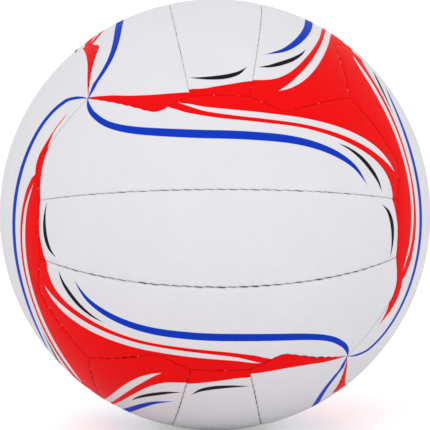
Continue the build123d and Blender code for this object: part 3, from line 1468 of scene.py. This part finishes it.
@dataclass(frozen=True)
class SewingThread:
    """Waxed thread with a fine twist, darkened in the twist's grooves as painted shade."""

    pale: Colour = linear(176, 173, 170)
    dark: Colour = linear(120, 117, 116)
    twists_per_metre: float = 900.0
    twist_distortion: float = 1.5
    twist_depth: float = 0.05 * MM
    twist_strength: float = 0.6
    roughness: float = 0.7

    def make(self) -> bpy.types.Material:
        """Builds the material.

        Returns:
            The material.
        """
        material, sheet, shader = new_material("sewing_thread")
        twist = sheet.add(
            "ShaderNodeTexWave",
            {"Vector": sheet.place(), "Scale": self.twists_per_metre, "Distortion": self.twist_distortion},
            bands_direction="DIAGONAL",
        ).outputs["Fac"]
        sheet.feed(shader, {
            # The dark colour follows the low parts of the twist's bump: painted shade in its grooves.
            "Base Color": sheet.mix(twist, self.dark, self.pale),
            "Roughness": self.roughness,
            "Normal": sheet.bump(twist, self.twist_strength, self.twist_depth),
        })
        return material


@dataclass(frozen=True)
class LiningCloth:
    """Unbleached woven cloth behind the cover."""

    pale: Colour = linear(206, 199, 182)
    dark: Colour = linear(158, 150, 132)
    threads_per_metre: float = 320.0
    thread_depth: float = 0.15 * MM
    thread_strength: float = 0.7
    roughness: float = 0.9

    def make(self, effects: SharedEffects) -> bpy.types.Material:
        """Builds the material.

        Args:
            effects: The shared node groups.

        Returns:
            The material.
        """
        material, sheet, shader = new_material("lining_cloth")
        weave = sheet.group(effects.weave, {"Threads per metre": self.threads_per_metre})
        sheet.feed(shader, {
            "Base Color": sheet.mix(weave.outputs["Tone"], self.dark, self.pale),
            "Roughness": self.roughness,
            "Normal": sheet.bump(weave.outputs["Height"], self.thread_strength, self.thread_depth),
        })
        return material


@dataclass(frozen=True)
class PlainRubber:
    """Moulded rubber in one colour, with a fine grain and an uneven tone.

    Attributes:
        name: Name of the material.
        pale: Colour of its paler patches.
        dark: Colour of its darker patches.
        cells_per_metre: Grain cells in a metre.
        roughness: Lowest and highest roughness.
    """

    name: str
    pale: Colour
    dark: Colour
    cells_per_metre: float
    roughness: Pair
    patches_per_metre: float = 120.0
    grain_depth: float = 0.03 * MM
    grain_strength: float = 0.4

    def make(self, effects: SharedEffects) -> bpy.types.Material:
        """Builds the material.

        Args:
            effects: The shared node groups.

        Returns:
            The material.
        """
        material, sheet, shader = new_material(self.name)
        height, tone = effects.rubber(sheet, self.cells_per_metre, self.patches_per_metre)
        sheet.feed(shader, {
            "Base Color": sheet.mix(tone, self.dark, self.pale),
            "Roughness": sheet.between(tone, self.roughness),
            "Normal": sheet.bump(height, self.grain_strength, self.grain_depth),
        })
        return material


BLADDER_RUBBER = PlainRubber(
    name="bladder_rubber",
    pale=linear(44, 43, 45),
    dark=linear(26, 26, 28),
    cells_per_metre=500.0,
    roughness=(0.45, 0.6),
)
PATCH_RUBBER = PlainRubber(
    name="patch_rubber",
    pale=linear(120, 116, 110),
    dark=linear(92, 88, 83),
    cells_per_metre=700.0,
    roughness=(0.6, 0.75),
)
VALVE_RUBBER = PlainRubber(
    name="valve_rubber",
    pale=linear(40, 40, 43),
    dark=linear(24, 24, 26),
    cells_per_metre=1500.0,
    roughness=(0.4, 0.55),
)


@dataclass
class Ball:
    """The whole ball: panels, threads, valve, and the finishes of what the frame shows inside.

    Attributes:
        frame: What the frame holds.
        radius: Ball radius.
        layout: Angles of the seams.
        point_radius: Radius of the rounded points and notches.
        valve_panel: Name of the panel that the valve is in.
        finishes: Material of each of the record's slots.
    """

    frame: dict
    radius: float
    layout: PanelLayout = PanelLayout()
    point_radius: float = 8.0 * MM
    valve_panel: str = "back_middle"
    finishes: dict[str, bpy.types.Material] = field(default_factory=dict)

    def mix_finishes(self) -> None:
        """Builds the materials."""
        effects = SharedEffects()
        self.finishes = {
            "cover": PrintedCover().make(effects),
            "thread": SewingThread().make(),
            "lining": LiningCloth().make(effects),
            "bladder": BLADDER_RUBBER.make(effects),
            "valve_patch": PATCH_RUBBER.make(effects),
            "valve": VALVE_RUBBER.make(effects),
        }

    def dress(self, piece: bpy.types.Object, slot: str) -> None:
        """Gives a piece the finish of a slot, in place of what it had."""
        piece.data.materials.clear()
        piece.data.materials.append(self.finishes[slot])

    def fit(self, piece: bpy.types.Object, node: str, slot: str) -> None:
        """Puts a finished piece in the place of a node of the frame.

        Args:
            piece: The new piece.
            node: The node that it stands for.
            slot: The record's material slot, whose finish it gets.
        """
        self.dress(piece, slot)
        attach(piece, BODY)
        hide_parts(node)
        LOG.info("%s stands for %s, %d vertices", piece.name, node, len(piece.data.vertices))

    def build_panels(self) -> None:
        """Builds the eighteen cover panels, and cuts the valve's hole."""
        draws = np.random.default_rng(SEED)
        side = PanelOutline(self.layout.side_corners(), self.layout, self.radius, self.point_radius)
        middle = PanelOutline(self.layout.middle_corners(), self.layout, self.radius, self.point_radius)
        for face in FACES:
            far, centre, near = (f"{face.name}_{panel}" for panel in face.panels)
            for name, outline, printing, half_turn in (
                (far, side, SidePrint(), False),
                (centre, middle, MiddlePrint(), False),
                (near, side, SidePrint(), True),
            ):
                slack = SEAM_SLACK.get(name, 1.0)
                cover = CoverPanel(name, outline, printing, face.turn(half_turn), self.radius, slack)
                panel = cover.build(draws)
                if name == self.valve_panel:
                    ValveMouth(face.outward, self.radius).cut(panel)
                self.fit(panel, f"{name}_cover", "cover")

    def build_threads(self) -> None:
        """Builds the threads of the seams between a face's panels and across its ends."""
        draws = np.random.default_rng(SEED)
        span, breadth = self.layout.span, self.layout.breadth
        strip = [(Corner(span, breadth, CornerKind.SHARP, 0), Corner(-span, breadth, CornerKind.SHARP, 0))]
        end_corners = self.layout.face_end()
        end = list(zip(end_corners, end_corners[1:]))
        for face in FACES:
            turns = [face.turn(), face.turn(half_turn=True)]
            groups = [(f"{face.name}_panel_thread", strip, turns)]
            groups += [(f"{face.name}_{at}_end_thread", end, [turn]) for at, turn in zip(face.ends, turns)]
            for node, runs, places in groups:
                thread = SeamThread(node, runs, places, self.radius)
                self.fit(thread.build(draws), node, "thread")

    def dress_frame(self) -> None:
        """Gives the nodes that stay their finishes."""
        slots = {part["node"]: part["material_slot"] for part in self.frame["record"]["subparts"]}
        for name, node in self.frame["nodes"].items():
            if slots[name] not in ("cover", "thread"):
                self.dress(node, slots[name])
                LOG.info("%s keeps its shape and gets %s", name, self.finishes[slots[name]].name)


@dataclass(frozen=True)
class Lamp:
    """Square soft lamp that faces the ball.

    Attributes:
        name: Name of the lamp.
        place: Where it hangs.
        size: Length of its side.
        power: Power in watts.
    """

    name: str
    place: tuple[float, float, float]
    size: float
    power: float

    def hang(self) -> None:
        """Hangs the lamp in the scene."""
        light = bpy.data.lights.new(self.name, "AREA")
        light.size = self.size
        light.energy = self.power
        lamp = bpy.data.objects.new(self.name, light)
        lamp.location = self.place
        lamp.rotation_euler = (-Vector(self.place)).to_track_quat("-Z", "Y").to_euler()
        bpy.context.scene.collection.objects.link(lamp)


@dataclass
class Studio:
    """Pale floor, soft light and the camera.

    Attributes:
        radius: Ball radius; the floor touches the ball's lowest point.
        camera_azimuth: Degrees to the right of the ball's front.
        camera_elevation: Degrees above it.
        camera_distance: Distance from the ball's centre.
        floor_lift: Light that the floor adds where the camera, gloss or glass shows it.
        sky_strength: Strength of the sky's light on the ball.
        sky_colour: Colour of that light.
        white: Colour that the camera sees behind the ball.
    """

    radius: float
    camera_azimuth: float = -1.57
    camera_elevation: float = 5.99
    camera_distance: float = 1.3083
    lens: float = 211.1
    sensor: float = 36.0
    shift_y: float = -0.0009
    view_reach: float = 120.0
    floor_half: float = 30.0
    floor_colour: Colour = (0.94, 0.94, 0.94, 1.0)
    floor_roughness: float = 0.9
    floor_lift: float = 0.34
    fibre_scale: float = 60.0
    fibre_detail: float = 3.0
    fibre_depth: float = 0.1 * MM
    fibre_strength: float = 0.05
    sky_strength: float = 0.86
    sky_colour: Colour = (0.975, 0.973, 1.0, 1.0)
    white: Colour = (1.0, 1.0, 1.0, 1.0)
    lamps: tuple[Lamp, ...] = (
        Lamp(name="key", place=(-0.9, -2.2, 2.2), size=1.6, power=14.0),
        Lamp(name="fill", place=(1.6, -2.4, 0.9), size=1.8, power=6.0),
    )

    def build(self) -> None:
        """Builds floor, sky, lamps and camera."""
        self.build_floor()
        self.build_sky()
        for lamp in self.lamps:
            lamp.hang()
        self.build_camera()

    def seen(self, sheet: NodeSheet) -> Socket:
        """Finds the rays that show the plain background.

        Args:
            sheet: The sheet to draw on.

        Returns:
            A value that is 1 for the camera and for what it sees by gloss or through glass.
        """
        path = sheet.add("ShaderNodeLightPath")
        mirrored = sheet.math("MAXIMUM", path.outputs["Is Glossy Ray"], path.outputs["Is Transmission Ray"])
        return sheet.math("MAXIMUM", path.outputs["Is Camera Ray"], mirrored)

    def build_floor(self) -> None:
        """Lays a wide matte floor under the ball."""
        half, level = self.floor_half, -self.radius
        corners = [(x * half, y * half, level) for x, y in ((-1, -1), (1, -1), (1, 1), (-1, 1))]
        floor = mesh_object("floor", np.array(corners), [[0, 1, 2, 3]])
        material, sheet, shader = new_material("floor_paper")
        fibres = sheet.add("ShaderNodeTexNoise", {"Scale": self.fibre_scale, "Detail": self.fibre_detail})
        seen = self.seen(sheet)
        sheet.feed(shader, {
            "Base Color": self.floor_colour,
            "Roughness": self.floor_roughness,
            "Specular IOR Level": 0.0,
            "Normal": sheet.bump(fibres.outputs[0], self.fibre_strength, self.fibre_depth),
            "Emission Color": self.white,
            "Emission Strength": sheet.math("MULTIPLY", seen, self.floor_lift),
        })
        floor.data.materials.append(material)
        floor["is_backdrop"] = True

    def build_sky(self) -> None:
        """Surrounds the scene with even light that the camera sees as plain white."""
        world = bpy.data.worlds.new("studio")
        world.use_nodes = True
        sheet = NodeSheet(world.node_tree)
        seen = self.seen(sheet)
        sheet.feed(world.node_tree.nodes["Background"], {
            "Color": sheet.mix(seen, self.sky_colour, self.white),
            "Strength": sheet.between(seen, (self.sky_strength, 1.0)),
        })
        bpy.context.scene.world = world

    def build_camera(self) -> None:
        """Sets the camera at the photograph's viewing angle."""
        azimuth, elevation = math.radians(self.camera_azimuth), math.radians(self.camera_elevation)
        back = Vector((
            math.sin(azimuth) * math.cos(elevation),
            -math.cos(azimuth) * math.cos(elevation),
            math.sin(elevation),
        ))
        data = bpy.data.cameras.new("camera")
        data.lens = self.lens
        data.sensor_width = self.sensor
        data.shift_y = self.shift_y
        data.clip_end = self.view_reach
        camera = bpy.data.objects.new("camera", data)
        camera.location = back * self.camera_distance
        camera.rotation_euler = (-back).to_track_quat("-Z", "Y").to_euler()
        bpy.context.scene.collection.objects.link(camera)
        bpy.context.scene.camera = camera


def plain_box(box: object) -> list[list[float]]:
    """Turns a box of two corners into plain lists of numbers."""
    return [[float(value) for value in corner] for corner in box]


def main() -> None:
    """Loads the frame, builds the ball and the studio, taking the ball's radius from the frame's size."""
    logging.basicConfig(level=logging.INFO, format="%(name)s: %(message)s")
    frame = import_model()
    cad_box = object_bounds()
    low, high = plain_box(cad_box)
    radius = (high[0] - low[0]) / 2
    bpy.context.scene.view_settings.view_transform = "Standard"
    ball = Ball(frame, radius)
    ball.mix_finishes()
    ball.build_panels()
    ball.build_threads()
    ball.dress_frame()
    Studio(radius).build()


if __name__ == "__main__":
    main()
